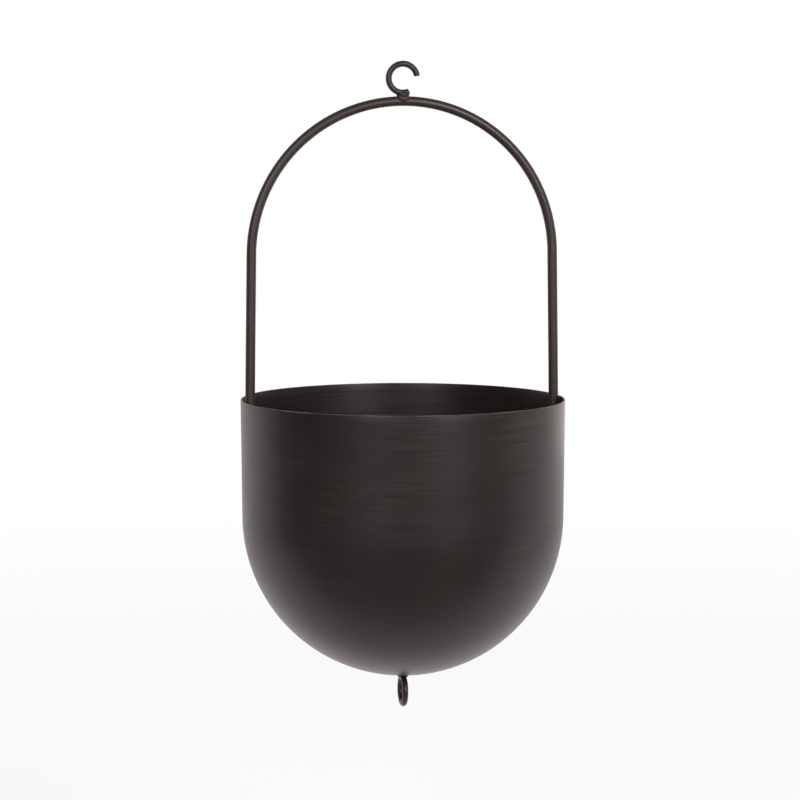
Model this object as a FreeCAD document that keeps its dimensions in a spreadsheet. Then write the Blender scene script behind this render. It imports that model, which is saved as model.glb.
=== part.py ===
import FreeCAD, Part
import math
import os

import Sketcher

# A hanging plant holder: a spun steel pot, carried by a bent rod that is welded to the inside of its wall,
# with an open wire hook on the crown of the rod and a closed wire ring under the pot for the next holder.
# +Z is up, the handle lies in the XZ plane, and the origin is where the hook bears on what it hangs from.

# Driving dimensions, in millimetres and degrees.
SIZES = {
    "pot_diameter": 160.0,  # across the rim, outside
    "pot_depth": 137.1,  # rim to the lowest point, outside
    "wall_draft": 0.65,  # angle by which the straight wall closes in downwards
    "sheet": 0.8,  # thickness of the pot's sheet
    "rim_round": 0.3,  # rounding of the lip's two edges
    "rod": 4.8,  # diameter of the handle's rod
    "handle_rise": 148.7,  # rim to the top of the arch
    "leg_depth": 22.0,  # how far the legs reach below the rim
    "leg_splay": 0.75,  # angle by which the legs spread downwards
    "rod_end_round": 0.5,  # rounding of the rod's cut ends
    "hook_wire": 3.0,  # diameter of the hook's wire
    "hook_eye": 11.1,  # inside diameter of the hook
    "hook_tip": 8.5,  # angle of the hook's free end above the horizontal
    "hook_tail": 65.0,  # angle of the hook's lower end below the horizontal
    "ring_wire": 3.0,  # diameter of the ring's wire
    "ring_eye": 10.4,  # inside diameter of the ring
    "wire_end_round": 0.3,  # rounding of the hook's cut ends
    "weld_gap": 0.2,  # space that each weld bridges
    "hook_bead": 5.8,  # diameter of the weld on the crown
    "hook_bead_drop": 0.4,  # how far its middle lies below the crown
    "hook_bead_shift": 0.3,  # its offset from the crown towards the hook's lower end
    "ring_bead": 6.8,  # diameter of the weld under the pot
    "ring_bead_drop": 2.2,  # how far it reaches down over the ring
    "leg_bead": 3.0,  # thickness of each weld beside a leg
    "leg_bead_pitch": 1.6,  # spacing of its ripples
    "leg_bead_spread": 0.15,  # how far its middle lies outside the leg's side
    "leg_bead_top": 5.0,  # rim to its upper end
    "leg_bead_foot": 3.0,  # its lower end to the end of the leg
}

# Heights above the hook's bearing point, and the inside radius of the wall, as formulas on the sheet.
HOOK_CENTRE = "(-Sizes.hook_eye / 2)"
CROWN = "(-Sizes.hook_eye - Sizes.hook_wire - Sizes.weld_gap)"
RIM = f"({CROWN} - Sizes.handle_rise)"
POT_BOTTOM = f"({RIM} - Sizes.pot_depth)"
RING_CENTRE = f"({POT_BOTTOM} - Sizes.weld_gap - Sizes.ring_wire - Sizes.ring_eye / 2)"
WALL_INSIDE_AT_RIM = "(Sizes.pot_diameter / 2 - Sizes.sheet / cos(Sizes.wall_draft))"
LEG_REACH = (
    f"({WALL_INSIDE_AT_RIM} - Sizes.leg_depth * tan(Sizes.wall_draft)"
    " - Sizes.rod / 2 - Sizes.weld_gap)"
)
LEG_BEAD_RUN = "(Sizes.leg_depth - Sizes.leg_bead_top - Sizes.leg_bead_foot - Sizes.leg_bead)"

# Sketcher's own numbering of a sketch's axes, of which the first also holds the origin, and of a curve's points.
V_AXIS, H_AXIS = range(-2, 0)
ORIGIN = H_AXIS
START, END, CENTRE = range(1, 4)

doc = FreeCAD.newDocument("PlantHolder")


def make_sheet():
    sheet = doc.addObject("Spreadsheet::Sheet", "Sizes")
    for row, (alias, value) in enumerate(SIZES.items(), start=1):
        sheet.set(f"A{row}", alias.replace("_", " "))
        sheet.set(f"B{row}", str(value))
        sheet.setAlias(f"B{row}", alias)
    doc.recompute()


def bind(item, formulas):
    for path, formula in formulas.items():
        item.setExpression(path, formula)


def new_body(label, height):
    body = doc.addObject("PartDesign::Body", label)
    body.Label = label
    bind(body, {"Placement.Base.z": height})
    return body


def new_sketch(body, name, role):
    plane = next(item for item in body.Origin.OriginFeatures if item.Role == role)
    sketch = body.newObject("Sketcher::SketchObject", name)
    sketch.AttachmentSupport = [(plane, "")]
    sketch.MapMode = "FlatFace"
    return sketch


def size(sketch, name, kind, *members, formula, guess):
    # A named driving dimension of a sketch, bound to the sheet.
    index = sketch.addConstraint(Sketcher.Constraint(kind, *members, guess))
    sketch.renameConstraint(index, name)
    sketch.setExpression(f"Constraints.{name}", formula)


def rules(sketch, *constraints):
    sketch.addConstraint([Sketcher.Constraint(*constraint) for constraint in constraints])


def line(*points):
    return Part.LineSegment(*[FreeCAD.Vector(x, y, 0) for x, y in points])


def arc(centre, radius, first, last):
    circle = Part.Circle(FreeCAD.Vector(*centre, 0), FreeCAD.Vector(0, 0, 1), radius)
    return Part.ArcOfCircle(circle, first, last)


def wire_section(sketch, along, diameter, reach, diameter_guess, reach_guess):
    # A round section whose centre lies at the given reach along the sketch's X or Y axis.
    middle = (reach_guess, 0) if along == "X" else (0, reach_guess)
    circle = Part.Circle(FreeCAD.Vector(*middle, 0), FreeCAD.Vector(0, 0, 1), diameter_guess / 2)
    section = sketch.addGeometry(circle)
    on_axis = H_AXIS if along == "X" else V_AXIS
    rules(sketch, ("PointOnObject", section, CENTRE, on_axis))
    size(sketch, "wire", "Diameter", section, formula=diameter, guess=diameter_guess)
    size(
        sketch, "reach", f"Distance{along}", ORIGIN, START, section, CENTRE,
        formula=reach, guess=reach_guess,
    )


def round_edges(body, base, chosen, radius):
    doc.recompute()
    names = [f"Edge{n}" for n, edge in enumerate(base.Shape.Edges, start=1) if chosen(edge)]
    fillet = body.newObject("PartDesign::Fillet", f"{body.Name}_edges")
    fillet.Base = (base, names)
    bind(fillet, {"Radius": radius})
    doc.recompute()


def is_circle_at(edge, points, tolerance=0.01):
    if edge.Degenerated or edge.Curve.TypeId != "Part::GeomCircle":
        return False
    return any(edge.Curve.Center.distanceToPoint(point) < tolerance for point in points)


def make_pot():
    body = new_body("pot_shell", RIM)
    sketch = new_sketch(body, "pot_profile", "XZ_Plane")
    rim = SIZES["pot_diameter"] / 2
    depth = SIZES["pot_depth"]
    sheet = SIZES["sheet"]
    draft = math.radians(SIZES["wall_draft"])
    # The dome's circle is centred on the axis and touches the drafted wall.
    dome = (rim * math.cos(draft) - depth * math.sin(draft)) / (1 - math.sin(draft))
    middle = dome - depth

    def tangent_point(radius):
        return radius * math.cos(draft), middle - radius * math.sin(draft)

    inner_start = tangent_point(dome - sheet)
    inner_rim = rim - sheet / math.cos(draft)
    quarter = -math.pi / 2
    outer_wall = sketch.addGeometry(line(tangent_point(dome), (rim, 0)))
    outer_dome = sketch.addGeometry(arc((0, middle), dome, quarter, -draft))
    floor_edge = sketch.addGeometry(line((0, -depth), (0, sheet - depth)))
    inner_dome = sketch.addGeometry(arc((0, middle), dome - sheet, quarter, -draft))
    inner_wall = sketch.addGeometry(line(inner_start, (inner_rim, 0)))
    lip = sketch.addGeometry(line((inner_rim, 0), (rim, 0)))
    rules(
        sketch,
        ("Tangent", outer_wall, START, outer_dome, END),
        ("Tangent", inner_wall, START, inner_dome, END),
        ("Coincident", outer_dome, START, floor_edge, START),
        ("Coincident", floor_edge, END, inner_dome, START),
        ("Coincident", inner_wall, END, lip, START),
        ("Coincident", lip, END, outer_wall, END),
        ("PointOnObject", outer_dome, CENTRE, V_AXIS),
        ("Coincident", inner_dome, CENTRE, outer_dome, CENTRE),
        ("PointOnObject", floor_edge, START, V_AXIS),
        ("PointOnObject", floor_edge, END, V_AXIS),
        ("PointOnObject", lip, START, H_AXIS),
        ("PointOnObject", lip, END, H_AXIS),
        ("Parallel", outer_wall, inner_wall),
    )
    size(
        sketch, "rim_radius", "DistanceX", ORIGIN, START, lip, END,
        formula="Sizes.pot_diameter / 2", guess=rim,
    )
    size(
        sketch, "depth", "DistanceY", floor_edge, START, ORIGIN, START,
        formula="Sizes.pot_depth", guess=depth,
    )
    size(
        sketch, "thickness", "DistanceY", floor_edge, START, floor_edge, END,
        formula="Sizes.sheet", guess=sheet,
    )
    size(
        sketch, "wall_angle", "Angle", outer_wall,
        formula="90 - Sizes.wall_draft", guess=math.pi / 2 - draft,
    )
    spun = body.newObject("PartDesign::Revolution", "spun_sheet")
    spun.Profile = sketch
    spun.ReferenceAxis = (sketch, ["V_Axis"])
    spun.Angle = 360
    round_edges(
        body, spun,
        lambda edge: is_circle_at(edge, [FreeCAD.Vector(0, 0, 0)]),
        "min(Sizes.rim_round; 0.4 * Sizes.sheet)",
    )
    return body


def make_handle():
    body = new_body("arch_handle", RIM)
    path = new_sketch(body, "arch_path", "XZ_Plane")
    depth = SIZES["leg_depth"]
    splay = math.radians(SIZES["leg_splay"])
    draft = math.radians(SIZES["wall_draft"])
    rod = SIZES["rod"]
    wall_inside = SIZES["pot_diameter"] / 2 - SIZES["sheet"] / math.cos(draft)
    reach = wall_inside - depth * math.tan(draft) - rod / 2 - SIZES["weld_gap"]
    crown = SIZES["handle_rise"] - rod / 2
    # The arch's circle is centred on the axis and touches both splayed legs.
    bend = (reach * math.cos(splay) - (crown + depth) * math.sin(splay)) / (1 - math.sin(splay))
    middle = crown - bend
    spring = (bend * math.cos(splay), middle + bend * math.sin(splay))
    left_leg = path.addGeometry(line((-reach, -depth), (-spring[0], spring[1])))
    arch = path.addGeometry(arc((0, middle), bend, splay, math.pi - splay))
    right_leg = path.addGeometry(line(spring, (reach, -depth)))
    top = path.addGeometry(Part.Point(FreeCAD.Vector(0, crown, 0)), True)
    rules(
        path,
        ("Tangent", left_leg, END, arch, END),
        ("Tangent", arch, START, right_leg, START),
        ("PointOnObject", arch, CENTRE, V_AXIS),
        ("Symmetric", left_leg, START, right_leg, END, V_AXIS),
        ("PointOnObject", top, START, arch),
        ("PointOnObject", top, START, V_AXIS),
    )
    size(
        path, "leg_spacing", "DistanceX", left_leg, START, right_leg, END,
        formula=f"2 * {LEG_REACH}", guess=2 * reach,
    )
    size(
        path, "leg_depth", "DistanceY", left_leg, START, ORIGIN, START,
        formula="Sizes.leg_depth", guess=depth,
    )
    size(
        path, "crown", "DistanceY", ORIGIN, START, top, START,
        formula="Sizes.handle_rise - Sizes.rod / 2", guess=crown,
    )
    size(
        path, "leg_angle", "Angle", left_leg,
        formula="90 - Sizes.leg_splay", guess=math.pi / 2 - splay,
    )
    section = new_sketch(body, "rod_section", "XY_Plane")
    section.AttachmentOffset = FreeCAD.Placement(
        FreeCAD.Vector(-reach, 0, -depth),
        FreeCAD.Rotation(FreeCAD.Vector(0, 1, 0), SIZES["leg_splay"]),
    )
    bind(
        section,
        {
            "AttachmentOffset.Base.x": f"-{LEG_REACH}",
            "AttachmentOffset.Base.z": "-Sizes.leg_depth",
            "AttachmentOffset.Rotation.Angle": "Sizes.leg_splay",
        },
    )
    circle = Part.Circle(FreeCAD.Vector(0, 0, 0), FreeCAD.Vector(0, 0, 1), rod / 2)
    outline = section.addGeometry(circle)
    rules(section, ("Coincident", outline, CENTRE, ORIGIN, START))
    size(section, "rod", "Diameter", outline, formula="Sizes.rod", guess=rod)
    bent = body.newObject("PartDesign::AdditivePipe", "bent_rod")
    bent.Profile = section
    bent.Spine = (path, ["Edge1", "Edge2", "Edge3"])
    foot_points = [FreeCAD.Vector(side * reach, 0, -depth) for side in (-1, 1)]
    round_edges(
        body, bent,
        lambda edge: is_circle_at(edge, foot_points),
        "min(Sizes.rod_end_round; 0.4 * Sizes.rod)",
    )
    return body


def make_hook():
    body = new_body("top_hook", HOOK_CENTRE)
    tip = math.radians(SIZES["hook_tip"])
    tail = math.radians(SIZES["hook_tail"])
    reach = (SIZES["hook_eye"] + SIZES["hook_wire"]) / 2
    section = new_sketch(body, "hook_section", "XY_Plane")
    section.AttachmentOffset = FreeCAD.Placement(
        FreeCAD.Vector(0, 0, 0),
        FreeCAD.Rotation(FreeCAD.Vector(0, -1, 0), SIZES["hook_tip"]),
    )
    bind(section, {"AttachmentOffset.Rotation.Angle": "Sizes.hook_tip"})
    wire_section(
        section, "X", "Sizes.hook_wire", "(Sizes.hook_eye + Sizes.hook_wire) / 2",
        SIZES["hook_wire"], reach,
    )
    bent = body.newObject("PartDesign::Revolution", "bent_wire")
    bent.Profile = section
    bent.ReferenceAxis = (section, ["V_Axis"])
    bent.Reversed = True
    bind(bent, {"Angle": "360 - Sizes.hook_tip - Sizes.hook_tail"})
    end_points = [
        FreeCAD.Vector(reach * math.cos(angle), 0, reach * math.sin(angle)) for angle in (tip, -tail)
    ]
    round_edges(
        body, bent,
        lambda edge: is_circle_at(edge, end_points),
        "min(Sizes.wire_end_round; 0.4 * Sizes.hook_wire)",
    )
    return body


def make_ring():
    body = new_body("bottom_ring", RING_CENTRE)
    reach = (SIZES["ring_eye"] + SIZES["ring_wire"]) / 2
    section = new_sketch(body, "ring_section", "XZ_Plane")
    wire_section(
        section, "Y", "Sizes.ring_wire", "(Sizes.ring_eye + Sizes.ring_wire) / 2",
        SIZES["ring_wire"], reach,
    )
    bent = body.newObject("PartDesign::Revolution", "closed_wire")
    bent.Profile = section
    bent.ReferenceAxis = (section, ["H_Axis"])
    bent.Angle = 360
    doc.recompute()
    return body


def weld_drop(name, formulas):
    # One rounded drop of weld metal.
    drop = doc.addObject("Part::Sphere", name)
    bind(drop, formulas)
    return drop


def cut_to_fit(label, weld, neighbours):
    # The weld ends at the surfaces of the pieces that it joins.
    for order, neighbour in enumerate(neighbours, start=1):
        cut = doc.addObject("Part::Cut", f"{label}_cut_{order}")
        cut.Base = weld
        cut.Tool = neighbour
        weld = cut
    weld.Label = label
    doc.recompute()
    return weld


def make_hook_weld(handle, hook):
    formulas = {
        "Radius": "Sizes.hook_bead / 2",
        "Placement.Base.x": "Sizes.hook_bead_shift",
        "Placement.Base.z": f"{CROWN} - Sizes.hook_bead_drop",
    }
    return cut_to_fit("hook_weld", weld_drop("hook_weld_drop", formulas), [handle, hook])


def make_ring_weld(pot, ring):
    # A shallow cap of a ball, whose flat top lies within the pot's sheet.
    rise = "(Sizes.ring_bead_drop + Sizes.sheet / 2)"
    radius = f"((pow(Sizes.ring_bead / 2; 2) + pow({rise}; 2)) / (2 * {rise}))"
    formulas = {
        "Radius": radius,
        "Angle2": f"-asin(1 - {rise} / {radius})",
        "Placement.Base.z": f"{POT_BOTTOM} - Sizes.ring_bead_drop + {radius}",
    }
    return cut_to_fit("ring_weld", weld_drop("ring_weld_drop", formulas), [pot, ring])


def make_leg_weld(side, face, pot, handle):
    # A row of drops in the groove between a leg and the wall, which bites half-way into the sheet.
    side_name, outward = side
    face_name, along_y = face
    label = f"{side_name}_{face_name}_weld"
    run = SIZES["leg_depth"] - SIZES["leg_bead_top"] - SIZES["leg_bead_foot"] - SIZES["leg_bead"]
    steps = max(1, round(run / SIZES["leg_bead_pitch"]))
    drops = []
    for step in range(steps + 1):
        depth = f"(Sizes.leg_bead_top + Sizes.leg_bead / 2 + {LEG_BEAD_RUN} * {step} / {steps})"
        wall_inside = f"({WALL_INSIDE_AT_RIM} - {depth} * tan(Sizes.wall_draft))"
        formulas = {
            "Radius": "Sizes.leg_bead / 2",
            "Placement.Base.x": f"{outward} * ({wall_inside} + Sizes.sheet / 2 - Sizes.leg_bead / 2)",
            "Placement.Base.y": f"{along_y} * (Sizes.rod / 2 + Sizes.leg_bead_spread)",
            "Placement.Base.z": f"{RIM} - {depth}",
        }
        drops.append(weld_drop(f"{label}_drop_{step}", formulas))
    row = doc.addObject("Part::MultiFuse", f"{label}_row")
    row.Shapes = drops
    return cut_to_fit(label, row, [pot, handle])


def check(sub_parts):
    failed = [item.Name for item in doc.Objects if {"Invalid", "Error"} & set(item.State)]
    if failed:
        raise RuntimeError(f"failed objects: {failed}")
    for item in sub_parts:
        shape = item.Shape
        if shape.isNull() or not shape.isValid() or len(shape.Solids) != 1:
            raise RuntimeError(f"{item.Label} is not one sound solid")


make_sheet()
pot_shell = make_pot()
arch_handle = make_handle()
top_hook = make_hook()
bottom_ring = make_ring()
sub_parts = [
    pot_shell,
    arch_handle,
    top_hook,
    bottom_ring,
    make_hook_weld(arch_handle, top_hook),
    make_ring_weld(pot_shell, bottom_ring),
]
for side in (("left", -1), ("right", 1)):
    for face in (("front", -1), ("rear", 1)):
        sub_parts.append(make_leg_weld(side, face, pot_shell, arch_handle))

doc.recompute()
check(sub_parts)
os.makedirs("parts", exist_ok=True)
for sub_part in sub_parts:
    sub_part.Shape.exportStep(f"parts/{sub_part.Label}.step")
    box = sub_part.Shape.optimalBoundingBox(False)
    print(
        f"{sub_part.Label}: {sub_part.Shape.Volume:.2f} mm3,"
        f" z {box.ZMin:.2f} to {box.ZMax:.2f}, x {box.XMin:.2f} to {box.XMax:.2f}"
    )
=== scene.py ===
import math

import bpy
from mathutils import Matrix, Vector


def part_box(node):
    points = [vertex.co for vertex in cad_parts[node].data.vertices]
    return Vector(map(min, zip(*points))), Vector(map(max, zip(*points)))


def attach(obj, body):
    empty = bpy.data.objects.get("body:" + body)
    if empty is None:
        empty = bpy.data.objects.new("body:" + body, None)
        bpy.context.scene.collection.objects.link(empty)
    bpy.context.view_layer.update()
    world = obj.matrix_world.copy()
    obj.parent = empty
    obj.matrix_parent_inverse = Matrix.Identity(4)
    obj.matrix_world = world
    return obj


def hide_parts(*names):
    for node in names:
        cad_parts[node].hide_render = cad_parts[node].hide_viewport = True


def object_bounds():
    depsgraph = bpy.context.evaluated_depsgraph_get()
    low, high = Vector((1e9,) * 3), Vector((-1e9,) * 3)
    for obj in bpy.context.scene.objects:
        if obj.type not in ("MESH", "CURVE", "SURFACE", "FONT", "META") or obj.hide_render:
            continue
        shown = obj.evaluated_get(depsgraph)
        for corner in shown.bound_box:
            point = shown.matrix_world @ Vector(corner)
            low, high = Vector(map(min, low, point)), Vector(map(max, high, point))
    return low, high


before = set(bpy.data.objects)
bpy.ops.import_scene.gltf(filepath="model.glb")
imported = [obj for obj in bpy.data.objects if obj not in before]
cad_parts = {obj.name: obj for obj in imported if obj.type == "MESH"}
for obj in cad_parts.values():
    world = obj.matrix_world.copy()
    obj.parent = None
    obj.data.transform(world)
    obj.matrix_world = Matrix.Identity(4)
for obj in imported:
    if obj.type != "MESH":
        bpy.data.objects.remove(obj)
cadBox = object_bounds()
mm = 0.001
print("frame loaded:", ", ".join(sorted(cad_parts)))


class Link:
    # one socket of a node tree; Python's operators on it add Math nodes
    def __init__(self, tree, socket=None):
        self.tree = tree
        self.socket = socket

    def node(self, kind, settings=None, inputs=None, output=0):
        # any other node: its settings first, then the values or links of its sockets
        made = self.tree.nodes.new(kind)
        for name, value in (settings or {}).items():
            setattr(made, name, value)
        for name, value in (inputs or {}).items():
            if isinstance(value, Link):
                self.tree.links.new(value.socket, made.inputs[name])
            else:
                made.inputs[name].default_value = value
        return Link(self.tree, made.outputs[output] if made.outputs else None)

    def other(self, output):
        return Link(self.tree, self.socket.node.outputs[output])

    def maths(self, operation, *values):
        return self.node("ShaderNodeMath", {"operation": operation}, dict(enumerate(values)))

    def __add__(self, value):
        return self.maths("ADD", self, value)

    def __sub__(self, value):
        return self.maths("SUBTRACT", self, value)

    def __rsub__(self, value):
        return self.maths("SUBTRACT", value, self)

    def __mul__(self, value):
        return self.maths("MULTIPLY", self, value)

    def __truediv__(self, value):
        return self.maths("DIVIDE", self, value)

    def __rtruediv__(self, value):
        return self.maths("DIVIDE", value, self)

    __radd__ = __add__
    __rmul__ = __mul__


# Geometry Nodes: a tree takes a seed mesh and grows a piece from it

def newTree(name, inputKinds):
    tree = bpy.data.node_groups.new(name, "GeometryNodeTree")
    face = tree.interface
    face.new_socket("Geometry", in_out="INPUT", socket_type="NodeSocketGeometry")
    for label, kind in inputKinds.items():
        face.new_socket(label, in_out="INPUT", socket_type="NodeSocket" + kind)
    face.new_socket("Geometry", in_out="OUTPUT", socket_type="NodeSocketGeometry")
    inlet = tree.nodes.new("NodeGroupInput")
    given = {socket.name: Link(tree, socket) for socket in inlet.outputs if socket.name}
    return tree, Link(tree), given


def closeTree(start, mesh, finish):
    smooth = start.node("GeometryNodeSetShadeSmooth", None, {"Geometry": mesh})
    real = start.node("GeometryNodeRealizeInstances", None, {"Geometry": smooth})
    painted = start.node("GeometryNodeSetMaterial", None, {"Geometry": real, "Material": finish})
    start.node("NodeGroupOutput", None, {"Geometry": painted})


def storeOn(start, geometry, name, dataType, value):
    settings = {"data_type": dataType, "domain": "POINT"}
    return start.node(
        "GeometryNodeStoreNamedAttribute", settings, {"Geometry": geometry, "Name": name, "Value": value}
    )


def readMark(start, name):
    return start.node("GeometryNodeInputNamedAttribute", {"data_type": "FLOAT"}, {"Name": name})


def makeSpinTree():
    # turns a half outline, drawn in the XZ plane, round the Z axis, as a lathe spins a sheet
    drum = 80 * mm  # the slight waves of the sheet are laid out on a drum of about the pot's size
    seam = 0.002 * mm
    kinds = {"Turn Steps": "Int", "Wave Height": "Float", "Wave Length": "Float", "Finish": "Material"}
    tree, start, given = newTree("spunSheet", kinds)
    outline = given["Geometry"]
    rows = start.node("GeometryNodeAttributeDomainSize", {"component": "MESH"}, {"Geometry": outline})
    columns = given["Turn Steps"] + 1
    sheet = start.node(
        "GeometryNodeMeshGrid", None,
        {"Size X": 1.0, "Size Y": 1.0, "Vertices X": columns, "Vertices Y": rows},
    )
    here = start.node("GeometryNodeInputPosition")
    across = start.node("ShaderNodeSeparateXYZ", None, {"Vector": here})
    turn = (across + 0.5) * math.tau
    row = (across.other("Y") + 0.5) * (rows - 1) + 0.5

    def sample(dataType, value):
        settings = {"data_type": dataType, "domain": "POINT"}
        return start.node(
            "GeometryNodeSampleIndex", settings, {"Geometry": outline, "Value": value, "Index": row}
        )

    drawn = start.node("ShaderNodeSeparateXYZ", None, {"Vector": sample("FLOAT_VECTOR", here)})
    height = drawn.other("Z")
    cosine = turn.maths("COSINE", turn)
    sine = turn.maths("SINE", turn)
    length = given["Wave Length"]
    onDrum = start.node(
        "ShaderNodeCombineXYZ", None,
        {"X": cosine * drum / length, "Y": sine * drum / length, "Z": height / length},
    )
    swell = start.node("ShaderNodeTexNoise", None, {"Vector": onDrum, "Scale": 1.0, "Detail": 1.0})
    fade = drawn.maths("MINIMUM", drawn / length, 1.0)  # no wave where the outline meets the axis
    reach = drawn + (swell - 0.5) * given["Wave Height"] * 2.0 * fade
    place = start.node(
        "ShaderNodeCombineXYZ", None, {"X": reach * cosine, "Y": reach * sine, "Z": height}
    )
    marked = storeOn(start, sheet, "along", "FLOAT", sample("FLOAT", readMark(start, "along")))
    spun = start.node("GeometryNodeSetPosition", None, {"Geometry": marked, "Position": place})
    joined = start.node("GeometryNodeMergeByDistance", None, {"Geometry": spun, "Distance": seam})
    outward = start.node("GeometryNodeFlipFaces", None, {"Mesh": joined})
    closeTree(start, outward, given["Finish"])
    return tree


def makeBendTree():
    # a round bar along a drawn path, thinned at its ends by the seed's girth
    tree, start, given = newTree("bentBar", {"Diameter": "Float", "Sides": "Int", "Finish": "Material"})
    path = start.node("GeometryNodeMeshToCurve", None, {"Mesh": given["Geometry"]})
    walked = start.node("GeometryNodeSplineParameter", None, None, "Length")
    path = storeOn(start, path, "along", "FLOAT", walked)
    section = start.node(
        "GeometryNodeCurvePrimitiveCircle", {"mode": "RADIUS"},
        {"Resolution": given["Sides"], "Radius": given["Diameter"] / 2},
    )
    here = start.node("GeometryNodeInputPosition")
    unit = start.node("ShaderNodeVectorMath", {"operation": "NORMALIZE"}, {0: here})
    section = storeOn(start, section, "around", "FLOAT_VECTOR", unit)
    bar = start.node(
        "GeometryNodeCurveToMesh", None,
        {"Curve": path, "Profile Curve": section, "Scale": readMark(start, "girth"), "Fill Caps": True},
    )
    closeTree(start, bar, given["Finish"])
    return tree


def makeWeldTree():
    # drops of weld metal that run together into one lumpy bead
    kinds = {
        "Voxel": "Float", "Blur": "Int", "Lump Height": "Float", "Lump Size": "Float", "Seed": "Float",
        "Finish": "Material",
    }
    tree, start, given = newTree("weldBead", kinds)
    drop = readMark(start, "drop")
    points = start.node("GeometryNodeMeshToPoints", {"mode": "VERTICES"}, {"Mesh": given["Geometry"]})
    pool = start.node(
        "GeometryNodePointsToVolume", {"resolution_mode": "VOXEL_SIZE"},
        {"Points": points, "Density": 1.0, "Voxel Size": given["Voxel"], "Radius": drop},
    )
    skin = start.node(
        "GeometryNodeVolumeToMesh", {"resolution_mode": "VOXEL_SIZE"},
        {"Volume": pool, "Voxel Size": given["Voxel"], "Threshold": 0.5, "Adaptivity": 0.0},
    )
    here = start.node("GeometryNodeInputPosition")
    flowed = start.node(
        "GeometryNodeBlurAttribute", {"data_type": "FLOAT_VECTOR"},
        {"Value": here, "Iterations": given["Blur"]},
    )
    skin = start.node("GeometryNodeSetPosition", None, {"Geometry": skin, "Position": flowed})
    lumps = start.node(
        "ShaderNodeTexNoise", {"noise_dimensions": "4D"},
        {"Vector": here, "W": given["Seed"], "Scale": 1 / given["Lump Size"], "Detail": 1.0},
    )
    rise = (lumps - 0.5) * 2.0 * given["Lump Height"]
    outward = start.node("GeometryNodeInputNormal")
    push = start.node("ShaderNodeVectorMath", {"operation": "SCALE"}, {0: outward, "Scale": rise})
    skin = start.node("GeometryNodeSetPosition", None, {"Geometry": skin, "Offset": push})
    closeTree(start, skin, given["Finish"])
    return tree


def makeSeed(name, points, closed=False, linked=True, **marks):
    mesh = bpy.data.meshes.new(name + "Seed")
    edges = [(i, i + 1) for i in range(len(points) - 1)] if linked else []
    if closed:
        edges.append((len(points) - 1, 0))
    mesh.from_pydata(points, edges, [])
    for label, values in marks.items():
        mesh.attributes.new(label, "FLOAT", "POINT").data.foreach_set("value", values)
    return mesh


def growPiece(name, seed, tree, values, node):
    piece = bpy.data.objects.new(name, seed)
    bpy.context.scene.collection.objects.link(piece)
    modifier = piece.modifiers.new("grow", "NODES")
    modifier.node_group = tree
    for item in tree.interface.items_tree:
        if item.name in values:
            modifier[item.identifier] = values[item.name]
    bpy.context.view_layer.update()
    graph = bpy.context.evaluated_depsgraph_get()
    mesh = bpy.data.meshes.new_from_object(piece.evaluated_get(graph), depsgraph=graph)
    piece.modifiers.remove(modifier)
    piece.data = mesh
    mesh.name = name
    bpy.data.meshes.remove(seed)
    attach(piece, "root")
    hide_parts(node)
    print(name, len(mesh.polygons), "faces")


def arcPoints(centre, radius, first, last, steps):
    # points on an arc in the XZ plane, with angles in degrees from +X
    points = []
    for step in range(steps + 1):
        angle = math.radians(first + (last - first) * step / steps)
        across, up = radius * math.cos(angle), radius * math.sin(angle)
        points.append((centre[0] + across, 0.0, centre[1] + up))
    return points


def linePoints(first, last, steps):
    first = Vector(first)
    return [tuple(first.lerp(Vector(last), step / steps)) for step in range(steps + 1)]


def runLengths(points):
    lengths = [0.0]
    for before, after in zip(points, points[1:]):
        lengths.append(lengths[-1] + (Vector(after) - Vector(before)).length)
    return lengths


def joinRuns(*runs):
    # runs that share their end points become one path
    path = []
    for run in runs:
        path += run if not path else run[1:]
    return path


# Lacquer: one satin brown-black paint, over the marks that each way of working leaves, and a painted
# highlight along the pot's lip

def noiseOn(start, vector, scale, detail=2.0):
    return start.node("ShaderNodeTexNoise", None, {"Vector": vector, "Scale": scale, "Detail": detail})


def mixColour(start, factor, first, second):
    settings = {"data_type": "RGBA", "clamp_factor": True}
    first = first if isinstance(first, Link) else (*first, 1.0)
    return start.node("ShaderNodeMix", settings, {0: factor, 6: first, 7: (*second, 1.0)}, 2)


def smoothMask(start, value, low, high):
    return start.node(
        "ShaderNodeMapRange", {"interpolation_type": "SMOOTHSTEP"},
        {"Value": value, "From Min": low, "From Max": high},
    )


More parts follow.
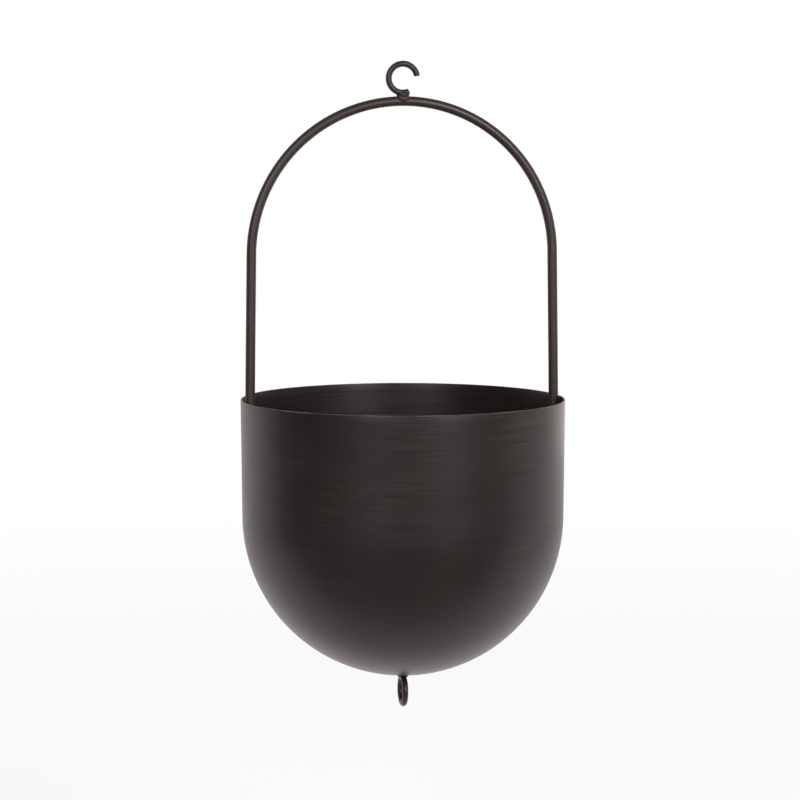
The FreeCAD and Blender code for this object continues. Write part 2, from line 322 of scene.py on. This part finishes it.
def makeLacquer(name, finish, drawLines, lipHighlight=None):
    material = bpy.data.materials.new(name)
    material.use_nodes = True
    material.node_tree.nodes.clear()
    start = Link(material.node_tree)
    place = start.node("ShaderNodeTexCoord", None, None, "Object")
    broad = noiseOn(start, place, 1 / finish["patch"])
    peel = noiseOn(start, place, 1 / finish["peel"], 1.0)
    cells = start.node(
        "ShaderNodeTexVoronoi", {"voronoi_dimensions": "3D"},
        {"Vector": place, "Scale": 1 / finish["speckSpacing"]},
    )
    chosen = start.node("ShaderNodeSeparateColor", None, {"Color": cells.other("Color")})
    speckCore = finish["speckSize"] * 0.4  # a speck rises from its edge to a flat core
    speck = smoothMask(start, cells, finish["speckSize"], speckCore)
    speck = speck * chosen.maths("GREATER_THAN", chosen, 1 - finish["speckShare"])
    lines = drawLines(start, place, finish)
    shade = lines * finish["lineTone"] + broad * finish["patchTone"] + speck * finish["speckTone"]
    colour = mixColour(start, shade, finish["deep"], finish["pale"])
    # painted highlight: a paler colour mixed into the lip's edges where the lamps' glint runs along the
    # lip
    if lipHighlight:
        colour = mixColour(start, lipHighlight(start, place, finish), colour, finish["thin"])
    uneven = (lines - 0.5) * finish["lineRough"] + (broad - 0.5) * finish["patchRough"]
    roughness = finish["roughness"] + uneven
    coat = finish["coat"] + (lines - 0.5) * finish["lineCoat"]
    height = lines * finish["lineHeight"] + peel * finish["peelHeight"] + speck * finish["speckHeight"]
    bump = start.node("ShaderNodeBump", None, {"Strength": 1.0, "Distance": 1.0, "Height": height})
    paint = start.node(
        "ShaderNodeBsdfPrincipled", None,
        {
            "Base Color": colour, "Roughness": roughness, "Normal": bump, "Coat Weight": coat,
            "IOR": 1.5, "Specular IOR Level": finish["gloss"], "Coat Roughness": finish["roughness"],
        },
    )
    start.node("ShaderNodeOutputMaterial", None, {"Surface": paint})
    return material


def spunLines(start, place, finish):
    # level lines that the spinning tool leaves, each running a part of the way round
    along = start.node("ShaderNodeAttribute", {"attribute_name": "along"}, None, "Fac")
    flat = start.node("ShaderNodeVectorMath", {"operation": "MULTIPLY"}, {0: place, 1: (1.0, 1.0, 0.0)})
    ray = start.node("ShaderNodeVectorMath", {"operation": "NORMALIZE"}, {0: flat})
    ray = start.node("ShaderNodeSeparateXYZ", None, {"Vector": ray})
    total = 0.0
    for width, turns, share in finish["lines"]:
        spot = start.node(
            "ShaderNodeCombineXYZ", None,
            {"X": ray * turns, "Y": ray.other("Y") * turns, "Z": along / width},
        )
        total = noiseOn(start, spot, 1.0, 1.0) * share + total
    level = start.node("ShaderNodeSeparateXYZ", None, {"Vector": place}, "Z")
    wall = smoothMask(start, level, *finish["lineFade"])
    # painted light: the lines' contrast, in colour as in gloss, is strongest facing the lamps' highlight
    # and opposite it, and fades at the two flanks
    towardsHighlight = ray * finish["lineSide"][0] + ray.other("Y") * finish["lineSide"][1]
    least = finish["lineLeast"]  # left of the lines on the bottom, and at the two flanks
    wall = wall * (1 - least) + least
    flank = towardsHighlight * towardsHighlight * (1 - least) + least
    patchy = noiseOn(start, place, 1 / finish["patch"], 1.0) * finish["linePatch"]
    return (total - 0.5) * finish["lineSteep"] * wall * flank * patchy + 0.5


def paintedLipHighlight(start, place, finish):
    # painted highlight: a paler band on the lip's edges stands in for the lamps' glint along the lip,
    # more in some places than in others
    level = start.node("ShaderNodeSeparateXYZ", None, {"Vector": place}, "Z")
    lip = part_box("pot_shell")[1].z
    edge = smoothMask(start, level, lip - finish["lipBand"], lip)
    return edge * smoothMask(start, noiseOn(start, place, 1 / finish["lipPatch"]), *finish["lipWorn"])


def drawnLines(start, place, finish):
    # lines that the drawing die leaves along a bar
    along = start.node("ShaderNodeAttribute", {"attribute_name": "along"}, None, "Fac")
    around = start.node("ShaderNodeAttribute", {"attribute_name": "around"}, None, "Vector")
    around = start.node("ShaderNodeSeparateXYZ", None, {"Vector": around})
    total = 0.0
    for length, turns, share in finish["lines"]:
        spot = start.node(
            "ShaderNodeCombineXYZ", None,
            {"X": around * turns, "Y": around.other("Y") * turns, "Z": along / length},
        )
        total = noiseOn(start, spot, 1.0, 1.0) * share + total
    return total


def weldRipples(start, place, finish):
    return noiseOn(start, place, 1 / finish["ripple"], 3.0)


# The pot: a spun sheet, its drafted wall running into a half-round bottom

potFinish = dict(
    deep=(0.0064, 0.0043, 0.0040), pale=(0.0164, 0.0120, 0.0112), gloss=0.25, roughness=0.37,
    lines=((0.9 * mm, 2.2, 0.55), (0.5 * mm, 4.0, 0.3), (5.0 * mm, 1.2, 0.15)),
    lineSteep=2.25, linePatch=1.8, lineLeast=0.5,
    # the last pair on the next line points towards the lamps' highlight, where the lines' painted
    # contrast is strongest
    lineFade=(-240 * mm, -210 * mm), lineSide=(0.26, -0.966),
    lineTone=0.50, lineRough=0.10, lineHeight=0.0025 * mm, coat=0.22, lineCoat=0.34,
    patch=30 * mm, patchTone=0.85, patchRough=0.06,
    peel=0.7 * mm, peelHeight=0.0015 * mm,
    speckSpacing=7 * mm, speckSize=0.05, speckShare=0.35, speckTone=0.9, speckHeight=0.010 * mm,
    # thin and the lip sizes after it make the painted highlight along the lip's edges
    thin=(0.090, 0.080, 0.076), lipBand=0.45 * mm, lipPatch=14 * mm, lipWorn=(0.3, 0.65),
)
potSizes = dict(
    sheet=0.8 * mm, wallDraft=0.65, lipRound=0.3 * mm,
    domeSteps=72, wallSteps=16, lipSteps=5, turnSteps=256,
    waveHeight=0.05 * mm, waveLength=42 * mm,
)


def potOutline(sizes):
    low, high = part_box("pot_shell")
    rim, depth = high.x, high.z - low.z
    draft, sheet, edge = math.radians(sizes["wallDraft"]), sizes["sheet"], sizes["lipRound"]
    dome = (rim * math.cos(draft) - depth * math.sin(draft)) / (1 - math.sin(draft))
    middle = (0.0, low.z + dome)
    inside = rim - sheet / math.cos(draft)
    lip = high.z - edge
    drawIn = edge * math.tan(draft)
    innerDome = arcPoints(middle, dome - sheet, -90, -sizes["wallDraft"], sizes["domeSteps"])
    innerLip = arcPoints((inside - drawIn + edge, lip), edge, 180, 90, sizes["lipSteps"])
    outerLip = arcPoints((rim - drawIn - edge, lip), edge, 90, 0, sizes["lipSteps"])
    outerDome = arcPoints(middle, dome, -sizes["wallDraft"], -90, sizes["domeSteps"])
    return joinRuns(
        innerDome,
        linePoints(innerDome[-1], innerLip[0], sizes["wallSteps"]),
        innerLip,
        linePoints(innerLip[-1], outerLip[0], 1),
        outerLip,
        linePoints(outerLip[-1], outerDome[0], sizes["wallSteps"]),
        outerDome,
    )


def makePot():
    outline = potOutline(potSizes)
    seed = makeSeed("pot", outline, along=runLengths(outline))
    values = {
        "Turn Steps": potSizes["turnSteps"],
        "Wave Height": potSizes["waveHeight"],
        "Wave Length": potSizes["waveLength"],
        "Finish": makeLacquer("potLacquer", potFinish, spunLines, paintedLipHighlight),
    }
    growPiece("potShell", seed, makeSpinTree(), values, "pot_shell")


# The bars: the arched handle, the hook on its crown and the ring under the pot

rodFinish = dict(
    deep=(0.0135, 0.0077, 0.0067), pale=(0.0320, 0.0203, 0.0182), gloss=0.46, roughness=0.37,
    lines=((22 * mm, 5.0, 0.6), (7 * mm, 9.0, 0.4)),
    lineTone=0.6, lineRough=0.10, lineHeight=0.0012 * mm, coat=0.05, lineCoat=0.10,
    patch=18 * mm, patchTone=0.4, patchRough=0.08,
    peel=0.8 * mm, peelHeight=0.0008 * mm,
    speckSpacing=6 * mm, speckSize=0.05, speckShare=0.3, speckTone=0.6, speckHeight=0.006 * mm,
)
wireFinish = dict(
    rodFinish, patch=7 * mm, lines=((12 * mm, 4.0, 0.6), (4 * mm, 7.0, 0.4)),
    deep=(0.0105, 0.0062, 0.0054), pale=(0.0260, 0.0165, 0.0150), gloss=0.40,
)
handleSizes = dict(splay=0.75, endRound=0.5 * mm, archSteps=160, legSteps=30, endSteps=6, sides=48)
hookSizes = dict(tip=8.5, tail=65.0, endRound=0.3 * mm, bendSteps=120, endSteps=5, sides=36)
ringSizes = dict(bendSteps=144, sides=36)


def roundEnds(path, radius, edge, steps):
    # the path with extra points at both ends, and the share of the girth left at each point
    clear, last = edge * 1.5, 3  # path points nearer the cut than this give way, up to this one
    points, girths = [Vector(point) for point in path], [1.0] * len(path)
    for _ in range(2):
        inward = (points[1] - points[0]).normalized()
        cut = points[0]
        extra, thin = [], []
        for step in range(steps + 1):
            angle = math.pi / 2 * step / steps
            extra.append(cut + inward * edge * (1 - math.cos(angle)))
            thin.append(1 - edge / radius * (1 - math.sin(angle)))
        kept = [i for i, point in enumerate(points) if (point - cut).dot(inward) > clear or i > last]
        points = extra + [points[i] for i in kept]
        girths = thin + [girths[i] for i in kept]
        points.reverse()
        girths.reverse()
    return [tuple(point) for point in points], girths


def handlePath(sizes):
    low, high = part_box("arch_handle")
    rod = high.y - low.y
    splay = math.radians(sizes["splay"])
    reach, crown = high.x - rod / 2, high.z - rod / 2
    foot = low.z + rod / 2 * math.sin(splay)
    bend = (reach * math.cos(splay) - (crown - foot) * math.sin(splay)) / (1 - math.sin(splay))
    arch = arcPoints((0.0, crown - bend), bend, 180 - sizes["splay"], sizes["splay"], sizes["archSteps"])
    leftLeg = linePoints((-reach, 0.0, foot), arch[0], sizes["legSteps"])
    rightLeg = linePoints(arch[-1], (reach, 0.0, foot), sizes["legSteps"])
    return joinRuns(leftLeg, arch, rightLeg), rod


def makeBars():
    tree = makeBendTree()
    path, rod = handlePath(handleSizes)
    points, girths = roundEnds(path, rod / 2, handleSizes["endRound"], handleSizes["endSteps"])
    rodLacquer = makeLacquer("rodLacquer", rodFinish, drawnLines)
    values = {"Diameter": rod, "Sides": handleSizes["sides"], "Finish": rodLacquer}
    growPiece("archHandle", makeSeed("handle", points, girth=girths), tree, values, "arch_handle")

    wireLacquer = makeLacquer("wireLacquer", wireFinish, drawnLines)
    low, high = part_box("top_hook")
    wire = high.y - low.y
    bend, middle = (high.z - low.z - wire) / 2, (high.z + low.z) / 2
    first, last = hookSizes["tip"], 360 - hookSizes["tail"]
    path = arcPoints((0.0, middle), bend, first, last, hookSizes["bendSteps"])
    points, girths = roundEnds(path, wire / 2, hookSizes["endRound"], hookSizes["endSteps"])
    values = {"Diameter": wire, "Sides": hookSizes["sides"], "Finish": wireLacquer}
    growPiece("topHook", makeSeed("hook", points, girth=girths), tree, values, "top_hook")

    low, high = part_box("bottom_ring")
    wire = high.x - low.x
    bend, middle = (high.z - low.z - wire) / 2, (high.z + low.z) / 2
    flat = arcPoints((0.0, middle), bend, 90, 450, ringSizes["bendSteps"])[:-1]
    points = [(0.0, x, z) for x, y, z in flat]
    values = {"Diameter": wire, "Sides": ringSizes["sides"], "Finish": wireLacquer}
    seed = makeSeed("ring", points, closed=True, girth=[1.0] * len(points))
    growPiece("bottomRing", seed, tree, values, "bottom_ring")


# The welds: lumps on the crown and under the pot, and beads beside the legs inside the wall

weldFinish = dict(
    deep=(0.0110, 0.0066, 0.0058), pale=(0.0330, 0.0225, 0.0205), gloss=0.42, roughness=0.40,
    ripple=1.4 * mm, lineTone=0.7, lineRough=0.12, lineHeight=0.008 * mm, coat=0.05, lineCoat=0.10,
    patch=4 * mm, patchTone=0.3, patchRough=0.10,
    peel=0.6 * mm, peelHeight=0.0010 * mm,
    speckSpacing=3 * mm, speckSize=0.10, speckShare=0.4, speckTone=0.6, speckHeight=0.015 * mm,
)
weldSizes = {"Voxel": 0.16 * mm, "Blur": 10, "Lump Height": 0.06 * mm, "Lump Size": 1.6 * mm}
crownDrops = (  # x, y, rise above the crown, radius in mm
    (0.0, 0.0, 0.0, 2.3), (-1.6, 0.1, 0.2, 1.5), (1.5, 0.0, 0.2, 1.4),
    (-1.3, -1.6, -0.8, 1.7), (0.3, -1.8, -1.2, 1.9), (1.6, -1.6, -0.8, 1.7),
    (-1.0, 1.6, -0.8, 1.7), (0.5, 1.8, -1.1, 1.8), (1.6, 1.5, -0.7, 1.6),
    (-0.9, -0.9, 0.8, 1.4), (0.4, -1.0, 0.9, 1.5), (1.6, -0.7, 0.9, 1.3), (0.3, 0.9, 0.8, 1.4),
    (-2.2, 0.0, 0.3, 1.15), (2.0, 0.0, 0.4, 1.1), (2.4, 0.0, 0.7, 0.95),
)
ringDrops = (  # x, y, drop below the pot, radius in mm
    (0.0, 0.0, 0.4, 1.9), (0.2, -1.8, 0.7, 1.6), (-0.1, 1.7, 0.7, 1.6),
    (1.45, -0.4, 0.7, 1.5), (-1.5, 0.3, 0.7, 1.5),
    (1.1, 1.2, 0.6, 1.5), (-1.2, -1.3, 0.6, 1.5), (1.2, -1.3, 0.6, 1.5), (-1.1, 1.3, 0.6, 1.5),
)
legBead = dict(  # mm, and radians from drop to drop
    drop=1.5, pitch=1.45, inset=0.05, lift=0.03,
    wander=0.14, wanderTurn=2.4, swell=0.16, swellTurn=1.7,
)
legShifts = dict(Front=0.3, Rear=1.9)  # radians, so that no two beads are alike


def makeWeld(name, tree, drops, seedValue, lacquer, node):
    points = [tuple(part * mm for part in drop[:3]) for drop in drops]
    seed = makeSeed(name, points, linked=False, drop=[drop[3] * mm for drop in drops])
    growPiece(name, seed, tree, dict(weldSizes, Seed=float(seedValue), Finish=lacquer), node)


def legDrops(node, shift):
    low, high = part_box(node)
    outward = 1 if high.x > 0 else -1
    facing = 1 if high.y > 0 else -1
    wall = max(abs(low.x), abs(high.x)) / mm
    side = max(abs(low.y), abs(high.y)) / mm
    radius = legBead["drop"]
    top, foot = high.z / mm - radius, low.z / mm + radius
    steps = round((top - foot) / legBead["pitch"])
    drops = []
    for step in range(steps + 1):
        wobble = math.sin(legBead["wanderTurn"] * step + shift)  # an unsteady hand, the same on every run
        swell = math.cos(legBead["swellTurn"] * step + 2 * shift)
        drops.append((
            outward * (wall - radius - legBead["inset"] + legBead["lift"] * swell),
            facing * (side - radius + legBead["wander"] * wobble),
            top + (foot - top) * step / steps,
            radius + legBead["swell"] * swell,
        ))
    return drops


def makeWelds():
    tree = makeWeldTree()
    lacquer = makeLacquer("weldLacquer", weldFinish, weldRipples)
    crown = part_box("arch_handle")[1].z / mm
    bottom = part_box("pot_shell")[0].z / mm
    drops = [(x, y, crown + rise, radius) for x, y, rise, radius in crownDrops]
    makeWeld("hookWeld", tree, drops, 1, lacquer, "hook_weld")
    drops = [(x, y, bottom - drop, radius) for x, y, drop, radius in ringDrops]
    makeWeld("ringWeld", tree, drops, 2, lacquer, "ring_weld")
    for order, side in enumerate(("left", "right")):
        for face, shift in legShifts.items():
            node = f"{side}_{face.lower()}_weld"
            drops = legDrops(node, shift + order)
            makeWeld(f"{side}{face}Weld", tree, drops, 3 + order + shift, lacquer, node)


# Studio: pale floor, white surroundings, soft lamps and the camera

studio = dict(
    floorDrop=0.13, floorSize=14.0, floorColour=(0.96, 0.955, 0.95),
    # painted shade: in the gloss the floor in front of the pot is far darker than its own colour,
    # standing in for shade beneath the pot
    floorShadeInGloss=(0.18, 0.175, 0.174),  # the floor's colour in the gloss
    whiteFrom=-0.215, whiteTo=-0.015, whiteTurn=-5,  # metres behind the pot, in the gloss, and degrees
    farFrom=0.7, farTo=1.8, nearWhite=0.70,  # metres all round the pot, and the white added near it
    # painted reflection: close behind the pot the floor glows brighter than white, in the gloss alone
    glow=0.17, glowEdge=(0.0, 0.09), glowEnd=(0.85, 0.35),  # white added close behind the pot
    worldLight=0.76, lampTint=(1.0, 0.93, 0.92),
    glossTint=(1.0, 0.90, 0.90), roomLevel=0.72, ceilingLevel=0.30,
    roomEdge=(-0.5, 0.2), ceilingEdge=(0.25, 0.75),  # where those levels begin and are full
)
lamps = dict(  # azimuth and elevation in degrees, distance, width and height in metres, watts
    right=(22, 19, 1.5, 0.36, 0.8, 11.0),
    left=(-29, 19, 1.5, 0.30, 0.8, 6.2),
)
# painted reflections: two cards that only the gloss sees and that light or shade nothing; the dark one
# paints a darker reflection on the pot's left, the glowing one a highlight on its right edge below the
# rim
darkCard = dict(  # on the left, and like the pale one it shows in the gloss alone
    azimuth=-80, distance=0.85, width=1.0, height=1.0, colour=(0.03, 0.03, 0.03, 1),
)
highlightCard = dict(  # behind on the right, below the rim
    azimuth=127, distance=0.258, width=0.19, height=0.05, drop=28 * mm, side=50 * mm, strength=1.75,
)
cameraSizes = dict(
    azimuth=-10.5, elevation=5.88, distance=1.8, lens=164.25, sensor=36.0,
    left=1.42 * mm, down=0.65 * mm,
)


def sideways(azimuth, elevation):
    turn, tilt = math.radians(azimuth), math.radians(elevation)
    return Vector((math.sin(turn) * math.cos(tilt), -math.cos(turn) * math.cos(tilt), math.sin(tilt)))


def aim(item, place, target):
    item.location = place
    item.rotation_euler = (Vector(target) - Vector(place)).to_track_quat("-Z", "Y").to_euler()


def rayKinds(start):
    # 1 for what the camera sees, and 1 for what shows in gloss
    straight = start.node("ShaderNodeLightPath", None, None, "Is Camera Ray")
    glossy, through = straight.other("Is Glossy Ray"), straight.other("Is Transmission Ray")
    return straight, straight.maths("MAXIMUM", glossy, through)


def plainNode(start, kind, colour, strength=None):
    # a diffuse, emission or background shader of one colour
    inputs = {"Color": (*colour, 1.0)}
    if strength is not None:
        inputs["Strength"] = strength
    return start.node(kind, None, inputs)


def mixShaders(start, factor, first, second):
    return start.node("ShaderNodeMixShader", None, {0: factor, 1: first, 2: second})


def distanceAlong(start, vector, way):
    settings = {"operation": "DOT_PRODUCT"}
    return start.node("ShaderNodeVectorMath", settings, {0: vector, 1: way}, "Value")


def makeWorld():
    world = bpy.data.worlds.new("studioWorld")
    bpy.context.scene.world = world
    world.use_nodes = True
    world.node_tree.nodes.clear()
    start = Link(world.node_tree)
    straight, mirrored = rayKinds(start)
    way = start.node("ShaderNodeTexCoord", None, None, "Generated")
    ahead = distanceAlong(start, way, sideways(cameraSizes["azimuth"], 0))
    upward = start.node("ShaderNodeSeparateXYZ", None, {"Vector": way}, "Z")
    room = smoothMask(start, ahead, *studio["roomEdge"])
    ceiling = smoothMask(start, upward, *studio["ceilingEdge"])
    level = 1.0 - room * (1 - studio["roomLevel"])
    level = level * (1.0 - ceiling * (1 - studio["ceilingLevel"]))
    light = plainNode(start, "ShaderNodeBackground", (1, 1, 1), studio["worldLight"])
    white = plainNode(start, "ShaderNodeBackground", (1, 1, 1), 1.0)
    warm = plainNode(start, "ShaderNodeBackground", studio["glossTint"], 1.0)
    black = plainNode(start, "ShaderNodeBackground", (0, 0, 0), 0.0)
    unseen = mixShaders(start, mirrored, light, mixShaders(start, level, black, warm))
    surface = mixShaders(start, straight, unseen, white)
    start.node("ShaderNodeOutputWorld", None, {"Surface": surface})


def flatPanel(name, width, depth, material):
    x, y = width / 2, depth / 2
    mesh = bpy.data.meshes.new(name)
    mesh.from_pydata([(-x, -y, 0), (x, -y, 0), (x, y, 0), (-x, y, 0)], [], [(0, 1, 2, 3)])
    mesh.materials.append(material)
    panel = bpy.data.objects.new(name, mesh)
    bpy.context.scene.collection.objects.link(panel)
    return panel


def makeFloor():
    material = bpy.data.materials.new("paleFloor")
    material.use_nodes = True
    material.node_tree.nodes.clear()
    start = Link(material.node_tree)
    place = start.node("ShaderNodeTexCoord", None, None, "Object")
    straight, mirrored = rayKinds(start)
    away = start.node("ShaderNodeVectorMath", {"operation": "LENGTH"}, {0: place}, "Value")
    forward = sideways(cameraSizes["azimuth"] + studio["whiteTurn"], 0)
    back = distanceAlong(start, place, forward) * -1.0
    behind = smoothMask(start, back, studio["whiteFrom"], studio["whiteTo"])
    far = smoothMask(start, away, studio["farFrom"], studio["farTo"])
    pale = plainNode(start, "ShaderNodeBsdfDiffuse", studio["floorColour"])
    shadeInGloss = plainNode(start, "ShaderNodeBsdfDiffuse", studio["floorShadeInGloss"])
    white = plainNode(start, "ShaderNodeEmission", (1, 1, 1), 1.0)
    # painted reflection: a brighter than white glow close behind the pot, which only the gloss sees
    close = smoothMask(start, back, *studio["glowEdge"]) * smoothMask(start, away, *studio["glowEnd"])
    warm = plainNode(start, "ShaderNodeEmission", studio["glossTint"], 1.0)
    glowInGloss = plainNode(start, "ShaderNodeEmission", studio["glossTint"], 1.0 + studio["glow"])
    # painted shade in front of the pot and painted glow close behind it, both seen in the gloss alone
    inGloss = mixShaders(start, behind, shadeInGloss, mixShaders(start, close, warm, glowInGloss))
    lit = mixShaders(start, mirrored, pale, inGloss)
    seen = (far * (1 - studio["nearWhite"]) + studio["nearWhite"]) * straight
    start.node("ShaderNodeOutputMaterial", None, {"Surface": mixShaders(start, seen, lit, white)})
    floor = flatPanel("floor", studio["floorSize"], studio["floorSize"], material)
    floor.location = (0, 0, cadBox[0].z - studio["floorDrop"])


# a card that only the gloss sees: a painted reflection
def placeCard(name, sizes, material, centre, target):
    card = flatPanel(name, sizes["width"], sizes["height"], material)
    aim(card, centre + sideways(sizes["azimuth"], 0) * sizes["distance"], target)
    card.visible_camera = False
    card.visible_diffuse = False
    card.visible_shadow = False


def makeCards(middle, rim):
    material = bpy.data.materials.new("darkCard")
    material.use_nodes = True
    paint = material.node_tree.nodes["Principled BSDF"]
    paint.inputs["Base Color"].default_value = darkCard["colour"]
    placeCard("darkCard", darkCard, material, middle, middle)

    # painted highlight: a card that glows in the gloss alone, so the pot's right edge is lighter below
    # the rim
    material = bpy.data.materials.new("highlightCard")
    material.use_nodes = True
    material.node_tree.nodes.clear()
    start = Link(material.node_tree)
    shine = plainNode(start, "ShaderNodeEmission", studio["glossTint"], highlightCard["strength"])
    start.node("ShaderNodeOutputMaterial", None, {"Surface": shine})
    centre = rim - Vector((0, 0, highlightCard["drop"]))
    placeCard("highlightCard", highlightCard, material, centre, centre + Vector((highlightCard["side"], 0, 0)))


def makeLamps(middle):
    for name, (azimuth, elevation, distance, width, height, watts) in lamps.items():
        data = bpy.data.lights.new(name + "Lamp", "AREA")
        data.shape, data.size, data.size_y = "RECTANGLE", width, height
        data.energy, data.color = watts, studio["lampTint"]
        lamp = bpy.data.objects.new(name + "Lamp", data)
        bpy.context.scene.collection.objects.link(lamp)
        aim(lamp, middle + sideways(azimuth, elevation) * distance, middle)


def makeCamera(rim):
    data = bpy.data.cameras.new("camera")
    data.lens, data.sensor_width = cameraSizes["lens"], cameraSizes["sensor"]
    camera = bpy.data.objects.new("camera", data)
    bpy.context.scene.collection.objects.link(camera)
    back = sideways(cameraSizes["azimuth"], cameraSizes["elevation"])
    right = Vector((0, 0, 1)).cross(back).normalized()
    target = rim - right * cameraSizes["left"] - back.cross(right) * cameraSizes["down"]
    aim(camera, target + back * cameraSizes["distance"], target)
    bpy.context.scene.camera = camera


def makeStudio():
    rim = Vector((0, 0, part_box("pot_shell")[1].z))
    middle = (cadBox[0] + cadBox[1]) / 2
    makeWorld()
    makeFloor()
    makeCards(middle, rim)
    makeLamps(middle)
    makeCamera(rim)
    bpy.context.scene.view_settings.view_transform = "Standard"
    print("studio ready")


makePot()
makeBars()
makeWelds()
makeStudio()
